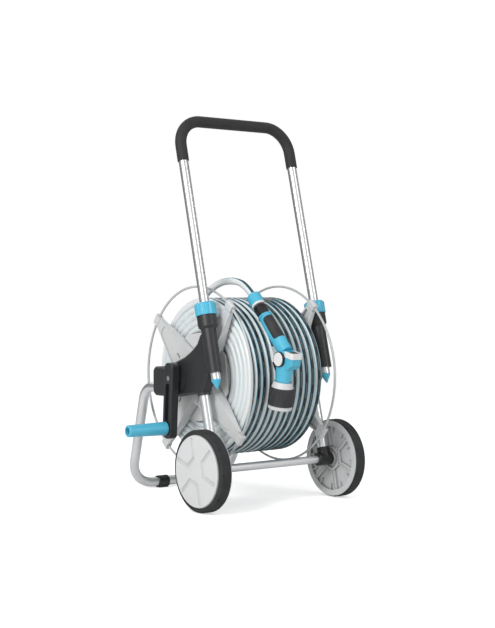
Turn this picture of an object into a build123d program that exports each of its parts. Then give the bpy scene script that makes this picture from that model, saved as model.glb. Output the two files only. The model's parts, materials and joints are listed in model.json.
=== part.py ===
from build123d import *

import os
from math import atan2, cos, degrees, hypot, pi, radians, sin, tan

# Garden hose reel cart: two wheels, a leaned telescopic handle, a drum with a wound hose,
# a hand crank, a wire-and-tube frame and a spray gun on the free hose end. Millimetres.
# The cart is drawn with x along the axle (crank at -x), y=0 over the axle, the rear foot
# at +y and z=0 on the ground. It is moved to its own middle when it is written.

# ---- overall ----
WHEEL_R = 100.0
LEG_X = 173.5  # half the distance between the two side frames
LEAN = 14.5  # degrees the side tubes lean towards the rear foot
HANDLE_REACH = 875.0  # crossbar above the axle, along the lean
DRUM_BACK = 137.0  # drum axis behind the axle
DRUM_RISE = 216.0  # drum axis above the axle
FOOT_REACH = 402.0  # rear foot bar behind the axle
PART_GAP = 0.3  # between curved faces of pieces that move past each other
RUNNING = 0.05  # radial clearance of a running fit

# ---- tubes ----
TUBE_WALL = 1.5
LEG_R = 12.5
LEG_START = 13.0  # lower end of a leg above the axle
HANDLE_R = 12.0
HANDLE_GAP = 58.5  # handle tube ahead of the leg
HANDLE_BEND = 68.0
HANDLE_LOW = 212.0  # lower end of the handle tubes, pulled out
TIP_LENGTH = 24.0
GRIP_WALL = 2.5
GRIP_STRAIGHT = 40.0
AXLE_R = 10.0
AXLE_ROD_R = 5.0
FOOT_R = 12.5
FOOT_SHOULDER = 311.0  # y where the foot tube turns down
FOOT_TUCK = 12.5  # how far the foot bar's corners stand inside the side frames
FOOT_SHOULDER_BEND = 52.0
FOOT_CORNER_BEND = 70.0
PAD_R = 16.0
PAD_MID = 63.0
PAD_LENGTH = 34.0
PAD_FLAT = 18.0

# ---- wheels ----
TYRE_WIDTH = 30.0
TYRE_DEPTH = 12.0
TYRE_ROUND = 4.0
TREAD_NOTCHES = 10
WHEEL_GAP = 0.5  # hub end to T connector
RIM_LIP = 2.0
RIM_WALL = 4.0
RIM_FLOOR = 7.0  # inner dish behind the lip
HUB_R = 16.0
COVER_BULGE = 5.0
COVER_R = 87.4
GROOVE_R = 5.6
GROOVE_DEPTH = 3.4
RIDGE_WIDTH = 11.0
RIDGE_WALL = 2.5
GROOVE_IN, GROOVE_OUT = 34.0, 77.0
GROOVE_HALF = 30.0  # degrees either side of a groove bracket's middle
GROOVE_FIRST = 47.0
CLIP_R = 8.0
CLIP_T = 1.5

# ---- T connectors ----
TEE_R = 17.0
TEE_LENGTH = 44.0
TEE_STOP = 12.0  # solid end behind the axle tube
TEE_RISE = 30.0

# ---- brackets ----
BRACKET_OUT = 16.5  # outer face beyond the leg's middle plane
BRACKET_IN = 15.0
BRACKET_CHAMFER = 5.0
SLEEVE_R = 18.5
SLEEVE_LOW = 228.0
COLLAR_R = 24.5
COLLAR_LENGTH = 33.0
COLLAR_TOP = 370.0
STUB_R = 20.0
STUB_RISE = 18.0
LEG_SOCKET_R = 16.5
LEG_TOP = 232.0
BRACKET_LOW = 187.0
BOSS_R = 46.0
BUSH_R = 17.0
BLOCK_FROM, BLOCK_TO = 40.0, 115.0  # foot socket behind the drum axis
BLOCK_LOW, BLOCK_HIGH = 50.0, 24.0  # below and above the drum axis
FOOT_DROP = 31.0  # foot tube's socket below the drum axis
FOOT_IN = 68.0  # end of the foot tube behind the drum axis

# ---- handle locks ----
NUT_R = 26.5
NUT_HEIGHT = 31.5
NUT_LIFT = 0.5
NUT_CHAMFER = 4.0
NUT_FLUTES = 12
FLUTE_R = 4.0
COLLET_WALL = 3.4

# ---- drum ----
SHAFT_R = 12.0
SHAFT_BORE = 8.0
FLANGE_GAP = 3.0  # flange hub to bracket
FLANGE_HUB_R = 52.0
FLANGE_HUB_T = 12.0
ARM_FIRST = 38.0  # degrees
ARM_COUNT = 4
ARM_ROOT_HALF = 37.5
ARM_TIP_HALF = 14.0
ARM_TIP = 218.0
ARM_FACE = 3.5
ARM_EDGE = 4.0
ARM_RECESS = 1.6
DISH = 22.0  # ring plane inside the hub's outer face
RING_R = 228.0
WIRE_R = 3.0
CLIP_WALL = 4.0
BARREL_R = 115.0  # over the corners of the eight-sided barrel
BARREL_WALL = 3.5
END_PLATE = 3.0
COIL_SIDE_GAP = 3.0
COIL_OVER_BARREL = 0.8

# ---- hose ----
HOSE_D = 17.5
COIL_R = 204.0
COIL_ROUND = 22.0
HOSE_X = -51.0
HOSE_ROUTE = [(-4.2, 506.6), (25.7, 537.5), (75, 560), (162, 554.7), (254.6, 504.3), (315.6, 441)]

# ---- crank ----
CRANK_GAP = 9.0  # arm's inner face off the bracket
CRANK_T = 21.0
CRANK_WIDTH = 37.0
CRANK_ABOVE = 39.0
CRANK_BELOW = 151.0
CRANK_ROUND = 15.0
CRANK_THROW = 125.0
CRANK_TURN = 3.5  # degrees the crank stands past straight down
KNOB_LENGTH = 111.0
KNOB_R, KNOB_END_R = 17.0, 14.8
KNOB_GAP = 1.5
PIN_R = 5.0
PIN_HEAD_R = 8.0

# ---- inlet ----
INLET_CAP_R = 20.0
INLET_CAP_T = 10.0
INLET_R = 8.8
INLET_REACH = 27.0
INLET_BORE = 5.0
SEAL_AT = 16.5
SEAL_WIRE = 1.2
SEAL_PROUD = 0.3

# ---- spray gun: its barrel points down, its handle leans back over the hose ----
GUN_TILT = 11.0  # degrees, barrel
GUN_LEAN = 44.0  # degrees, handle
GUN_CLEAR = 11.0  # gun handle's side to the wound hose
GUN_DROP = 133.0  # handle's foot below the drum-side tangent point, along the handle
GUN_HANDLE_R = 19.0
GUN_HANDLE_W = 17.0
GUN_HANDLE = 118.0
GUN_BARREL = 137.0  # handle joint above the spray face
FACE_R, FACE_T = 29.5, 10.0
BUMPER_R, BUMPER_T = 31.5, 44.0
NOZZLE_COLLAR_R, NOZZLE_COLLAR_T = 27.0, 14.0
GUN_NECK_R = 18.5
GUN_REAR_R = 25.0
DIAL_R, DIAL_T = 16.5, 5.0
DIAL_UP = 124.0
TRIGGER_UP = 93.0
LEVER_UP = 142.0
LEVER_WELL = 23.0
INSERT_FROM, INSERT_TO, INSERT_SIDE, INSERT_ROUND = 42.0, 6.0, 3.0, 8.0
BLOCK_HALF, BLOCK_REACH, BLOCK_LOWER, BLOCK_TOP = 15.0, 40.0, 104.0, 137.4
TRIM_WALL, TRIM_LOW, TRIM_HIGH, TRIM_FRONT = 2.0, 132.0, 146.0, 12.0
INLET_RING_R, INLET_RING_T = 18.5, 4.0
CONNECTOR_R, CONNECTOR_T = 16.0, 34.0
RELEASE_WALL = 4.0
RELEASE_TRAVEL = 3.0
WHITE_RING_R, WHITE_RING_T = 18.0, 5.0
HOSE_NUT_R, HOSE_NUT_T = 18.5, 31.0

# ---- worked out ----
DRUM_Z = WHEEL_R + DRUM_RISE
LEANED = Pos(0, 0, WHEEL_R) * Rot(X=-LEAN)
DRUM_V = DRUM_BACK * cos(radians(LEAN)) - DRUM_RISE * sin(radians(LEAN))
DRUM_W = DRUM_BACK * sin(radians(LEAN)) + DRUM_RISE * cos(radians(LEAN))
FACE_X = LEG_X + BRACKET_OUT
INNER_X = LEG_X - SLEEVE_R
TEE_X = LEG_X + 18.5
HUB_X = TEE_X + WHEEL_GAP
TYRE_X = HUB_X + 3.5
RIM_X = TYRE_X - RIM_LIP
TYRE_END = TYRE_X + TYRE_WIDTH
COVER_X = TYRE_END + COVER_BULGE
FLANGE_X = INNER_X - FLANGE_GAP
RING_X = FLANGE_X - DISH
PLATE_X = RING_X - 10.0
COIL_X = PLATE_X - END_PLATE - COIL_SIDE_GAP
CRANK_X = FACE_X + CRANK_GAP
KNOB_X = CRANK_X + CRANK_T + KNOB_GAP
ON_DRUM = Pos(0, DRUM_BACK, DRUM_Z)
ON_CRANK = ON_DRUM * Rot(X=CRANK_TURN)
ON_KNOB = ON_CRANK * Pos(0, 0, -CRANK_THROW)
MIDDLE_X = (COVER_X - KNOB_X - KNOB_LENGTH) / 2
MIDDLE_Y = (FOOT_REACH + PAD_R - WHEEL_R) / 2


def along_x(radius, x0, x1):
    return Pos((x0 + x1) / 2, 0, 0) * Rot(Y=90) * Cylinder(radius, x1 - x0)


def ring(outer, inner, x0, x1):
    return along_x(outer, x0, x1) - along_x(inner, x0 - 1, x1 + 1)


def post(radius, w0, w1):
    return Pos(0, 0, (w0 + w1) / 2) * Cylinder(radius, w1 - w0)


def sleeve(outer, inner, w0, w1):
    return post(outer, w0, w1) - post(inner, w0 - 1, w1 + 1)


def other_side(shape):
    return mirror(shape, about=Plane.YZ)


def bent_tube(points, radii, radius, wall):
    path = FilletPolyline(*points, radius=radii)
    section = Circle(radius) - Circle(radius - wall) if wall else Circle(radius)
    return sweep(Plane(origin=path @ 0, z_dir=path % 0) * section, path=path)


def outline_x(points, radius, x0, x1):
    """A closed outline in the y-z plane with rounded corners, from x0 to x1."""
    face = make_face(FilletPolyline(*points, radius=radius, close=True))
    return extrude(Plane.YZ.offset(x0) * face, x1 - x0)


# ---- wheels, drawn for +x with the wheel's axis on x ----
def spoke_lines():
    """The three groove brackets of a wheel, each a chord and two straight arms."""
    lines = []
    for turn in range(3):
        middle = GROOVE_FIRST + 120 * turn
        at = [radians(middle - GROOVE_HALF), radians(middle + GROOVE_HALF)]
        inner = [(GROOVE_IN * cos(a), GROOVE_IN * sin(a)) for a in at]
        outer = [(GROOVE_OUT * cos(a), GROOVE_OUT * sin(a)) for a in at]
        lines += [(inner[0], inner[1]), (inner[0], outer[0]), (inner[1], outer[1])]
    return lines


def bar(a, b, x, radius):
    start, end = Vector(x, a[0], a[1]), Vector(x, b[0], b[1])
    span = end - start
    body = Plane(origin=(start + end) / 2, z_dir=span) * Cylinder(radius, span.length)
    return body + Pos(start) * Sphere(radius) + Pos(end) * Sphere(radius)


def rib(a, b, x0, x1, thick):
    span = hypot(b[0] - a[0], b[1] - a[1])
    turn = degrees(atan2(b[1] - a[1], b[0] - a[0]))
    middle = Pos((x0 + x1) / 2, (a[0] + b[0]) / 2, (a[1] + b[1]) / 2)
    return middle * Rot(X=turn) * Box(x1 - x0, span + thick, thick)


def wheel_rim():
    seat = WHEEL_R - TYRE_DEPTH
    bore = AXLE_ROD_R + RUNNING
    rim = ring(WHEEL_R - 3, seat - RIM_WALL - 2, RIM_X, TYRE_X)
    rim += ring(seat, seat - RIM_WALL, RIM_X, TYRE_END)
    rim += ring(seat - 1, bore, TYRE_X + RIM_FLOOR - RIM_LIP, TYRE_X + RIM_FLOOR + 1)
    rim += ring(HUB_R, bore, HUB_X, TYRE_END - 4)
    rim += ring(HUB_R + 14, HUB_R + 10, RIM_X + 1, TYRE_X + RIM_FLOOR)
    for a, b in spoke_lines():
        rim += rib(a, b, RIM_X + 1.5, TYRE_X + RIM_FLOOR, RIDGE_WIDTH)
        rim -= rib(a, b, RIM_X - 1, RIM_X + 3, RIDGE_WIDTH - 2 * RIDGE_WALL)
    for step in range(12):
        a = radians(GROOVE_FIRST + 15 + 30 * step)
        inner, outer = seat - 20, seat - RIM_WALL + 0.5
        ends = [(r * cos(a), r * sin(a)) for r in (inner, outer)]
        rim += rib(*ends, RIM_X + 1.5, TYRE_X + RIM_FLOOR, 3.0)
    return rim - along_x(CLIP_R + 1, TYRE_END - 10, TYRE_END + 1)


def wheel_cover():
    disc = along_x(COVER_R, TYRE_END, COVER_X)
    disc = fillet(disc.edges().filter_by(GeomType.CIRCLE).sort_by(Axis.X)[-1:], 3.0)
    snap = WHEEL_R - TYRE_DEPTH - RIM_WALL - RUNNING
    disc += ring(snap, snap - 2.5, TYRE_END - 8, TYRE_END + 0.5)
    for a, b in spoke_lines():
        disc -= bar(a, b, COVER_X + GROOVE_R - GROOVE_DEPTH, GROOVE_R)
    return disc


def wheel_tyre():
    seat = WHEEL_R - TYRE_DEPTH
    tyre = ring(WHEEL_R, seat, TYRE_X, TYRE_END)
    rims = tyre.edges().filter_by(GeomType.CIRCLE).group_by(lambda e: e.radius)[-1]
    tyre = fillet(rims, TYRE_ROUND)
    for step in range(TREAD_NOTCHES):
        for x in (TYRE_X + 3, TYRE_END - 3):
            turn = Rot(X=360 / TREAD_NOTCHES * (step + (x > TYRE_X + 4) / 2))
            tyre -= turn * Pos(x, 0, WHEEL_R) * Box(9, 5, 3)
    return tyre


def wheel_clip():
    groove = TYRE_END - 8
    return ring(CLIP_R, AXLE_ROD_R, groove, groove + CLIP_T)


# ---- frame ----
def t_connector():
    body = along_x(TEE_R, TEE_X - TEE_LENGTH, TEE_X)
    body = chamfer(body.edges().filter_by(GeomType.CIRCLE), 2)
    body = Pos(0, 0, WHEEL_R) * body + LEANED * Pos(LEG_X, 0, 0) * post(TEE_R, 0, TEE_RISE)
    body -= LEANED * Pos(LEG_X, 0, 0) * post(LEG_R, LEG_START, TEE_RISE + 1)
    body -= Pos(0, 0, WHEEL_R) * along_x(AXLE_R, TEE_X - TEE_LENGTH - 1, TEE_X - TEE_STOP)
    return body - Pos(0, 0, WHEEL_R) * along_x(AXLE_ROD_R, LEG_X, TEE_X + 1)


def leg():
    return LEANED * Pos(LEG_X, 0, 0) * sleeve(LEG_R, LEG_R - TUBE_WALL, LEG_START, LEG_TOP)


def foot_points():
    """Corners of the foot tube, from the +x socket round to the -x socket."""
    top = DRUM_Z - FOOT_DROP
    side = [
        (LEG_X, DRUM_BACK + FOOT_IN, top),
        (LEG_X, FOOT_SHOULDER, top),
        (LEG_X - FOOT_TUCK, FOOT_REACH, PAD_R),
    ]
    return side + [(-x, y, z) for x, y, z in reversed(side)]


def foot_tube():
    radii = [FOOT_SHOULDER_BEND, FOOT_CORNER_BEND, FOOT_CORNER_BEND, FOOT_SHOULDER_BEND]
    return bent_tube(foot_points(), radii, FOOT_R, TUBE_WALL)


def foot_pad():
    x0, x1 = PAD_MID - PAD_LENGTH / 2, PAD_MID + PAD_LENGTH / 2
    pad = along_x(PAD_R, x0, x1)
    pad = chamfer(pad.edges().filter_by(GeomType.CIRCLE), 1.5)
    pad += Pos(PAD_MID, 0, -PAD_R / 2) * Box(PAD_LENGTH - 6, PAD_FLAT, PAD_R)
    return Pos(0, FOOT_REACH, PAD_R) * (pad - along_x(FOOT_R, x0 - 1, x1 + 1))


def web_outline():
    """Side view of the bracket's web in the leaned frame, anticlockwise."""
    sleeve_v = -HANDLE_GAP
    return [
        (sleeve_v + 4, SLEEVE_LOW + 6),
        (sleeve_v + 22, SLEEVE_LOW - 13),
        (-LEG_SOCKET_R - 1, BRACKET_LOW + 4),
        (-LEG_SOCKET_R + 8, BRACKET_LOW),
        (DRUM_V - 6, DRUM_W - BOSS_R),
        (DRUM_V + 30, DRUM_W - BOSS_R + 3),
        (DRUM_V + 62, DRUM_W - 18),
        (DRUM_V + 50, DRUM_W + 40),
        (DRUM_V, DRUM_W + 42),
        (DRUM_V - 38, DRUM_W + 45),
        (DRUM_V - 72, DRUM_W + 54),
        (DRUM_V - 100, DRUM_W + 66),
        (sleeve_v + SLEEVE_R - 1, COLLAR_TOP - COLLAR_LENGTH - 8),
        (sleeve_v + 4, COLLAR_TOP - COLLAR_LENGTH - 4),
    ]


def bracket():
    web = outline_x(web_outline(), 7.0, LEG_X - BRACKET_IN + 4, FACE_X)
    web = chamfer(web.faces().sort_by(Axis.X)[-1].edges(), BRACKET_CHAMFER)
    at_handle = Pos(LEG_X, -HANDLE_GAP, 0)
    body = web + at_handle * post(SLEEVE_R, SLEEVE_LOW, COLLAR_TOP - 1)
    collar = post(COLLAR_R, COLLAR_TOP - COLLAR_LENGTH, COLLAR_TOP)
    collar = chamfer(collar.edges().filter_by(GeomType.CIRCLE).sort_by(Axis.Z)[:1], 5.5)
    body += at_handle * collar
    body += at_handle * post(STUB_R, COLLAR_TOP - 1, COLLAR_TOP + STUB_RISE)
    body += Pos(LEG_X, 0, 0) * post(LEG_SOCKET_R, BRACKET_LOW - 4, LEG_TOP + 6)
    body = LEANED * body
    body += ON_DRUM * along_x(BOSS_R - 8, INNER_X + 1, FACE_X + 2)
    block = Pos(
        LEG_X,
        DRUM_BACK + (BLOCK_FROM + BLOCK_TO) / 2,
        DRUM_Z + (BLOCK_HIGH - BLOCK_LOW) / 2,
    ) * Box(2 * BRACKET_OUT, BLOCK_TO - BLOCK_FROM, BLOCK_LOW + BLOCK_HIGH)
    block = fillet(block.edges().filter_by(Axis.X).sort_by(Axis.Y)[-2:], 14)
    block = chamfer(block.faces().sort_by(Axis.X)[-1].edges(), BRACKET_CHAMFER - 1)
    body += block
    body -= LEANED * at_handle * post(HANDLE_R + PART_GAP, 0, COLLAR_TOP + STUB_RISE + 5)
    body -= LEANED * at_handle * post(STUB_R - COLLET_WALL, COLLAR_TOP - 6, COLLAR_TOP + STUB_RISE + 1)
    body -= LEANED * Pos(LEG_X, 0, 0) * post(LEG_R, 0, LEG_TOP)
    body -= ON_DRUM * along_x(BUSH_R, 0, FACE_X + 9)
    foot_end = DRUM_BACK + FOOT_IN
    socket = Pos(LEG_X, foot_end + 60, DRUM_Z - FOOT_DROP) * Rot(X=90) * Cylinder(FOOT_R, 120)
    return body - socket


def hub_bush():
    return ON_DRUM * ring(BUSH_R, SHAFT_R + RUNNING, INNER_X + 1, FACE_X + 3)


def collet():
    """A split clamping ring inside the lock nut."""
    outer = STUB_R - COLLET_WALL
    body = sleeve(outer, HANDLE_R + PART_GAP, COLLAR_TOP - 6, COLLAR_TOP + STUB_RISE + 6)
    top = COLLAR_TOP + STUB_RISE
    body -= Pos(0, outer, top - 4) * Box(2.5, 2 * outer - 8, 24)
    return LEANED * Pos(LEG_X, -HANDLE_GAP, 0) * body


def lock_nut():
    low, high = COLLAR_TOP + NUT_LIFT, COLLAR_TOP + NUT_LIFT + NUT_HEIGHT
    body = post(NUT_R, low, high)
    body = chamfer(body.edges().filter_by(GeomType.CIRCLE).sort_by(Axis.Z)[-1:], NUT_CHAMFER)
    for step in range(NUT_FLUTES):
        turn = Rot(Z=360 / NUT_FLUTES * (step + 0.5))
        body -= turn * Pos(NUT_R + FLUTE_R - 1.3, 0, 0) * post(FLUTE_R, low - 1, high + 1)
    body -= post(STUB_R + PART_GAP, low - 1, COLLAR_TOP + STUB_RISE + 0.5)
    body -= post(STUB_R - COLLET_WALL + PART_GAP, low, COLLAR_TOP + STUB_RISE + 6.5)
    body -= post(HANDLE_R + PART_GAP, low, high + 1)
    return LEANED * Pos(LEG_X, -HANDLE_GAP, 0) * body


def handle_route(low):
    """Handle centreline in the leaned frame, from +x round to -x, ending low on both sides."""
    side = [(LEG_X, -HANDLE_GAP, low), (LEG_X, -HANDLE_GAP, HANDLE_REACH)]
    return side + [(-x, y, z) for x, y, z in reversed(side)]


def handle_tube():
    return LEANED * bent_tube(handle_route(HANDLE_LOW), HANDLE_BEND, HANDLE_R, TUBE_WALL)


def handle_grip():
    start = HANDLE_REACH - HANDLE_BEND - GRIP_STRAIGHT
    path = FilletPolyline(*handle_route(start), radius=HANDLE_BEND)
    section = Circle(HANDLE_R + GRIP_WALL) - Circle(HANDLE_R)
    return LEANED * sweep(Plane(origin=path @ 0, z_dir=path % 0) * section, path=path)


def tube_tip():
    """A pointed plug in the lower end of a handle tube."""
    half = (HANDLE_R + 0.2) * 0.8
    cone = Pos(0, 0, HANDLE_LOW - TIP_LENGTH / 2 - 2) * Rot(X=180)
    cone = cone * Cone(HANDLE_R - 0.2, 1.5, TIP_LENGTH - 4)
    body = cone + post(HANDLE_R - 0.2, HANDLE_LOW - 4, HANDLE_LOW) & Pos(0, 0, HANDLE_LOW) * Box(
        2 * HANDLE_R, 4 * half, 4 * TIP_LENGTH
    )
    body += post(HANDLE_R - TUBE_WALL - RUNNING, HANDLE_LOW - 1, HANDLE_LOW + 12)
    return LEANED * Pos(LEG_X, -HANDLE_GAP, 0) * body


# ---- drum, drawn with its axis on x ----
def arm_width(r):
    share = (r - FLANGE_HUB_R) / (ARM_TIP - FLANGE_HUB_R)
    return ARM_ROOT_HALF + (ARM_TIP_HALF - ARM_ROOT_HALF) * share


def arm_plan(r0, r1, inset):
    """The arm seen along the axle, radial along y and tangential along z."""
    a, b = arm_width(r0) - inset, arm_width(r1) - inset
    return make_face(Polyline((r0, -a), (r1, -b), (r1, b), (r0, a), close=True))


def arm_side(drop):
    """The arm seen along the ring: a face that dishes inwards and walls that deepen to the hub."""
    root, tip = FLANGE_X - drop, RING_X + 4 - drop
    points = [(root, 20), (root, FLANGE_HUB_R), (tip, ARM_TIP), (tip - 8 + drop, ARM_TIP)]
    points += [(PLATE_X - END_PLATE, BARREL_R - 4), (PLATE_X - END_PLATE, 20)]
    return extrude(make_face(Polyline(*points, close=True)), 60, both=True)


def arm():
    plan = Plane.YZ.offset(PLATE_X - 20)
    deep = FLANGE_X - PLATE_X + 40
    body = extrude(plan * arm_plan(24, ARM_TIP, 0), deep) & arm_side(0)
    hollow = extrude(plan * arm_plan(22, ARM_TIP - 8, ARM_EDGE), deep) & arm_side(ARM_FACE + ARM_RECESS)
    body -= hollow
    recess = extrude(plan * arm_plan(FLANGE_HUB_R + 6, ARM_TIP - 44, ARM_EDGE), deep)
    recess += Pos(0, ARM_TIP - 44, 0) * along_x(arm_width(ARM_TIP - 44) - ARM_EDGE, PLATE_X, FLANGE_X)
    body -= recess - arm_side(ARM_RECESS)
    slot = Pos(FLANGE_X - 4, FLANGE_HUB_R + 26, 0) * Rot(X=90) * Box(14, 5, 18)
    return body - Pos(0, 0, 5) * slot


def ring_clip():
    """The arm's outer end, moulded round the wire ring."""
    block = Pos(0, RING_R - 1, 0) * Box(2 * (WIRE_R + CLIP_WALL), 2 * (WIRE_R + CLIP_WALL) + 8, 26)
    block = fillet(block.edges().filter_by(Axis.Z), 5)
    return Pos(RING_X, 0, 0) * block


def eight_sided(radius, x0, x1):
    turn = Rot(Z=ARM_FIRST - 45 + 22.5)
    return extrude(Plane.YZ.offset(x0) * turn * RegularPolygon(radius, 8), x1 - x0)


def wire_ring():
    return ON_DRUM * Pos(RING_X, 0, 0) * Rot(Y=90) * Torus(RING_R, WIRE_R)


def flange():
    body = along_x(FLANGE_HUB_R, FLANGE_X - FLANGE_HUB_T, FLANGE_X)
    body = fillet(body.edges().filter_by(GeomType.CIRCLE).sort_by(Axis.X)[-1:], 4)
    body += along_x(28, PLATE_X - END_PLATE, FLANGE_X - 2)
    body += eight_sided(BARREL_R + 5, PLATE_X - END_PLATE, PLATE_X)
    one = arm() + ring_clip()
    for step in range(ARM_COUNT):
        body += Rot(X=ARM_FIRST + 360 / ARM_COUNT * step) * one
    body = ON_DRUM * (body - along_x(SHAFT_R, 0, FLANGE_X + 9))
    return body - wire_ring()


def barrel():
    half = PLATE_X - END_PLATE
    body = eight_sided(BARREL_R, -half, half) - eight_sided(BARREL_R - BARREL_WALL, -half - 1, half + 1)
    for step in range(ARM_COUNT):
        turn = Rot(X=ARM_FIRST + 360 / ARM_COUNT * step)
        body -= turn * Pos(0, BARREL_R, 0) * Box(2 * half - 60, 40, 44)
    return ON_DRUM * body


def hub_shaft():
    body = along_x(SHAFT_R, -CRANK_X - CRANK_T + 8, FACE_X + 4)
    body -= along_x(SHAFT_BORE, -20, FACE_X + 5)
    return ON_DRUM * body - crank_screw()


def water_elbow():
    """Carries water from the hollow shaft to the hose's inner end on the barrel."""
    top = (BARREL_R - BARREL_WALL) * cos(radians(22.5)) - 0.5
    turn = Rot(X=ARM_FIRST - 45)
    riser = Rot(X=-90) * post(9, SHAFT_R - 3, top)
    body = ring(SHAFT_R + 5, SHAFT_R, -14, 14) + turn * riser - along_x(SHAFT_R, -20, 20)
    bore = Rot(X=-90) * post(6, SHAFT_R - 4, top + 1)
    return ON_DRUM * (body - turn * bore)


def drum_screws():
    one = along_x(2.2, FLANGE_X - 9, FLANGE_X) + along_x(4.2, FLANGE_X, FLANGE_X + 2.2)
    group = [Rot(X=ARM_FIRST + 45 + 90 * i) * Pos(0, 38, 0) * one for i in range(4)]
    pair = Part() + group
    return ON_DRUM * (pair + other_side(pair))


def screw_holes():
    one = along_x(2.2, FLANGE_X - 9, FLANGE_X + 1)
    return ON_DRUM * (Part() + [Rot(X=ARM_FIRST + 45 + 90 * i) * Pos(0, 38, 0) * one for i in range(4)])


def hose_coil():
    """Outer shape of the wound hose."""
    inner = BARREL_R + COIL_OVER_BARREL
    body = ring(COIL_R, inner, -COIL_X, COIL_X)
    rims = body.edges().filter_by(GeomType.CIRCLE).group_by(lambda e: e.radius)[-1]
    return ON_DRUM * fillet(rims, COIL_ROUND)


# ---- crank, at -x ----
def crank_arm():
    height = CRANK_ABOVE + CRANK_BELOW
    plate = Plane.YZ.offset(CRANK_X) * Pos(0, (CRANK_ABOVE - CRANK_BELOW) / 2) * RectangleRounded(
        CRANK_WIDTH, height, CRANK_ROUND
    )
    body = extrude(plate, CRANK_T)
    body = fillet(body.faces().sort_by(Axis.X)[-1].edges(), 3.5)
    groove = Plane.YZ.offset(CRANK_X + CRANK_T) * Pos(0, -62) * RectangleRounded(17, 98, 8.4)
    body -= extrude(groove, -9)
    body -= Pos(CRANK_X + CRANK_T, 0, CRANK_ABOVE - 21) * Box(3, CRANK_WIDTH - 12, 1.6)
    body += along_x(BUSH_R - 1, FACE_X + 3.5, CRANK_X + 1)
    body -= along_x(SHAFT_R, 0, CRANK_X + CRANK_T - 8)
    body -= Pos(0, 0, -CRANK_THROW) * along_x(PIN_R, CRANK_X + 2, KNOB_X)
    body -= along_x(3.1, CRANK_X, KNOB_X) + along_x(6.6, CRANK_X + CRANK_T - 3, KNOB_X)
    return ON_CRANK * other_side(body)


def crank_screw():
    head = CRANK_X + CRANK_T - 3
    body = along_x(3.0, head - 10, head) + along_x(6.2, head, head + 2.4)
    return ON_DRUM * other_side(body - Pos(head + 2, 0, 0) * Box(2, 9, 1.6))


def crank_pin():
    end = KNOB_X + KNOB_LENGTH - 34
    body = along_x(PIN_R, CRANK_X + 2, end) + along_x(PIN_HEAD_R, end, end + 3)
    return ON_KNOB * other_side(body)


def crank_knob():
    end = KNOB_X + KNOB_LENGTH
    body = Pos((KNOB_X + end) / 2, 0, 0) * Rot(Y=90) * Cone(KNOB_R, KNOB_END_R, KNOB_LENGTH)
    body = fillet(body.edges().filter_by(GeomType.CIRCLE), 3)
    body -= along_x(PIN_R + RUNNING, KNOB_X - 1, end - 30)
    body -= along_x(PIN_HEAD_R + 1, end - 34 - PART_GAP, end + 1)
    return ON_KNOB * other_side(body)


# ---- water inlet, at +x ----
def inlet_fitting():
    start = FACE_X + 4.5
    body = along_x(INLET_CAP_R, start, start + INLET_CAP_T)
    body = fillet(body.edges().filter_by(GeomType.CIRCLE).sort_by(Axis.X)[-1:], 3)
    skirt = ring(INLET_CAP_R, BUSH_R + 1, FACE_X + 2, start + 1)
    tip = along_x(INLET_R, start, start + INLET_REACH)
    floor = INLET_R + SEAL_PROUD - 2 * SEAL_WIRE
    neck = ring(INLET_R + 5, floor, start + SEAL_AT - SEAL_WIRE, start + SEAL_AT + SEAL_WIRE)
    body += skirt + tip - neck - along_x(INLET_BORE, start - 1, start + INLET_REACH + 1)
    return ON_DRUM * body


def inlet_seal():
    at = FACE_X + 4.5 + SEAL_AT
    return ON_DRUM * Pos(at, 0, 0) * Rot(Y=90) * Torus(INLET_R + SEAL_PROUD - SEAL_WIRE, SEAL_WIRE)


# ---- spray gun, drawn with the barrel up its own z and the handle towards +y ----
def gun_frame():
    """Places the gun so that its handle lies a set clearance off the wound hose."""
    out = COIL_R + GUN_CLEAR + GUN_HANDLE_R
    lean = radians(GUN_LEAN)
    foot_y = DRUM_BACK - out * cos(lean) - GUN_DROP * sin(lean)
    foot_z = DRUM_Z + out * sin(lean) - GUN_DROP * cos(lean)
    return Pos(HOSE_X, foot_y, foot_z) * Rot(X=GUN_TILT) * Pos(0, 0, -GUN_BARREL)


def on_handle(shape):
    """Moves a shape drawn up z from the handle's foot onto the gun's handle."""
    return Pos(0, 0, GUN_BARREL) * Rot(X=-GUN_LEAN - GUN_TILT) * shape


def oval(half_x, half_y, z):
    return Pos(0, 0, z) * Ellipse(half_x, half_y)


def gun_solid():
    neck = FACE_T + BUMPER_T + 4
    barrel_ovals = [
        oval(GUN_NECK_R, GUN_NECK_R, neck),
        oval(GUN_NECK_R, GUN_NECK_R + 1.5, neck + 22),
        oval(GUN_NECK_R + 2.5, GUN_REAR_R - 1, neck + 48),
        oval(GUN_NECK_R + 3, GUN_REAR_R, neck + 72),
        oval(GUN_NECK_R, GUN_REAR_R - 4, neck + 88),
    ]
    body = loft(barrel_ovals)
    shaft = [
        oval(GUN_HANDLE_W, GUN_HANDLE_R, 4),
        oval(GUN_HANDLE_W, GUN_HANDLE_R, 60),
        oval(GUN_HANDLE_W - 1.5, GUN_HANDLE_R - 1, GUN_HANDLE),
    ]
    return body + on_handle(loft(shaft))


def insert_zone():
    """The palm side of the handle, where the soft insert lies."""
    length = GUN_HANDLE - INSERT_FROM - INSERT_TO
    deep = 2 * GUN_HANDLE_R - INSERT_SIDE
    middle = Pos(0, -deep / 2 - INSERT_SIDE, INSERT_FROM + length / 2)
    zone = middle * Box(3 * GUN_HANDLE_W, deep, length)
    return on_handle(fillet(zone.edges().filter_by(Axis.X).group_by(Axis.Y)[-1], INSERT_ROUND))


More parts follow.
